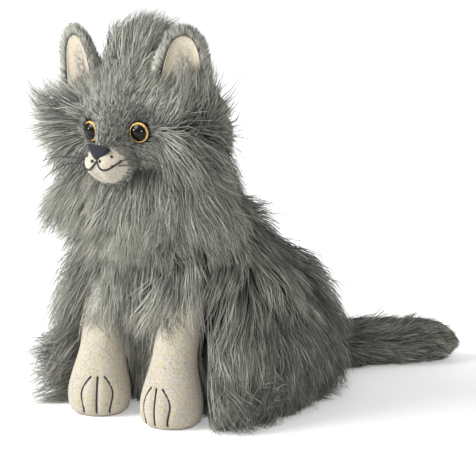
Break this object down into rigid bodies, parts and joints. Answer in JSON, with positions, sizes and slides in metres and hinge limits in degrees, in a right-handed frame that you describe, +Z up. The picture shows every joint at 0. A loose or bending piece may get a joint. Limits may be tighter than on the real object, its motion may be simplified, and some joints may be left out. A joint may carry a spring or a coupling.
{
  "type": "sitting plush cat",
  "caption": "Sitting long-haired plush cat with pale velour paws and muzzle, upright ears, a head that turns and nods, and a trailing tail.",
  "frame": {"origin": "middle of the flat seat panel, on the surface the cat sits on", "axes": "+Z up, the cat faces -Y, and its left side is at +X"},
  "size_m": [0.1787, 0.3439, 0.2929],
  "materials": {
    "long_pile": "long grey faux fur, dark at the root and paler at the tip",
    "short_plush": "short clipped grey plush",
    "velour": "pale velour with ochre and blue-grey speckles",
    "seat_cloth": "flat woven cloth",
    "fibre_fill": "loose polyester fibre",
    "pouch_cloth": "thin cloth pouch packed with pellets",
    "thread": "black embroidery thread",
    "nose_cloth": "dark slate flocked cloth",
    "eye_lens": "clear dome over an amber ring and a black pupil",
    "black_plastic": "black moulded plastic",
    "washer_plastic": "natural moulded plastic"
  },
  "bodies": {
    "torso": {"seat_panel": "seat_cloth", "torso_skin_left": "long_pile", "torso_skin_right": "long_pile", "chest_panel": "long_pile", "torso_fill": "fibre_fill", "pellet_pouch": "pouch_cloth", "haunch_skin_left": "long_pile", "haunch_skin_right": "long_pile", "haunch_fill_left": "fibre_fill", "haunch_fill_right": "fibre_fill", "foreleg_skin_left": "velour", "foreleg_skin_right": "velour", "foreleg_fill_left": "fibre_fill", "foreleg_fill_right": "fibre_fill", "toe_stitch_left_1": "thread", "toe_stitch_left_2": "thread", "toe_stitch_left_3": "thread", "toe_stitch_right_1": "thread", "toe_stitch_right_2": "thread", "toe_stitch_right_3": "thread"},
    "neck": {"neck_fill": "fibre_fill"},
    "head": {"head_skin_left": "long_pile", "head_skin_right": "long_pile", "head_gusset": "long_pile", "head_fill": "fibre_fill", "ear_back_left": "short_plush", "ear_back_right": "short_plush", "ear_lining_left": "velour", "ear_lining_right": "velour", "snout_cover": "short_plush", "muzzle_cover": "velour", "muzzle_fill": "fibre_fill", "nose": "nose_cloth", "mouth_stitch_left": "thread", "mouth_stitch_right": "thread", "whisker_dot_left_1": "thread", "whisker_dot_left_2": "thread", "whisker_dot_left_3": "thread", "whisker_dot_right_1": "thread", "whisker_dot_right_2": "thread", "whisker_dot_right_3": "thread", "whisker_left_1": "thread", "whisker_left_2": "thread", "whisker_right_1": "thread", "whisker_right_2": "thread", "eye_lens_left": "eye_lens", "eye_lens_right": "eye_lens", "eye_shank_left": "black_plastic", "eye_shank_right": "black_plastic", "eye_washer_left": "washer_plastic", "eye_washer_right": "washer_plastic"},
    "tail_root": {"tail_root_fill": "fibre_fill"},
    "tail": {"tail_skin": "long_pile", "tail_fill": "fibre_fill"}
  },
  "joints": [
    {"name": "head_turn", "type": "hinge", "parent": "torso", "child": "neck", "pos_m": [0, -0.03872, 0.176], "axis": [0, 0, 1], "range_deg": [-28, 28], "stiffness_Nm_per_rad": 0.8},
    {"name": "head_nod", "type": "hinge", "parent": "neck", "child": "head", "pos_m": [0, -0.03872, 0.176], "axis": [1, 0, 0], "range_deg": [-12, 12], "stiffness_Nm_per_rad": 2},
    {"name": "tail_swing", "type": "hinge", "parent": "torso", "child": "tail_root", "pos_m": [0, 0.0891, 0.022], "axis": [0, 0, 1], "range_deg": [-30, 30]},
    {"name": "tail_lift", "type": "hinge", "parent": "tail_root", "child": "tail", "pos_m": [0, 0.0891, 0.022], "axis": [1, 0, 0], "range_deg": [0, 40]}
  ]
}
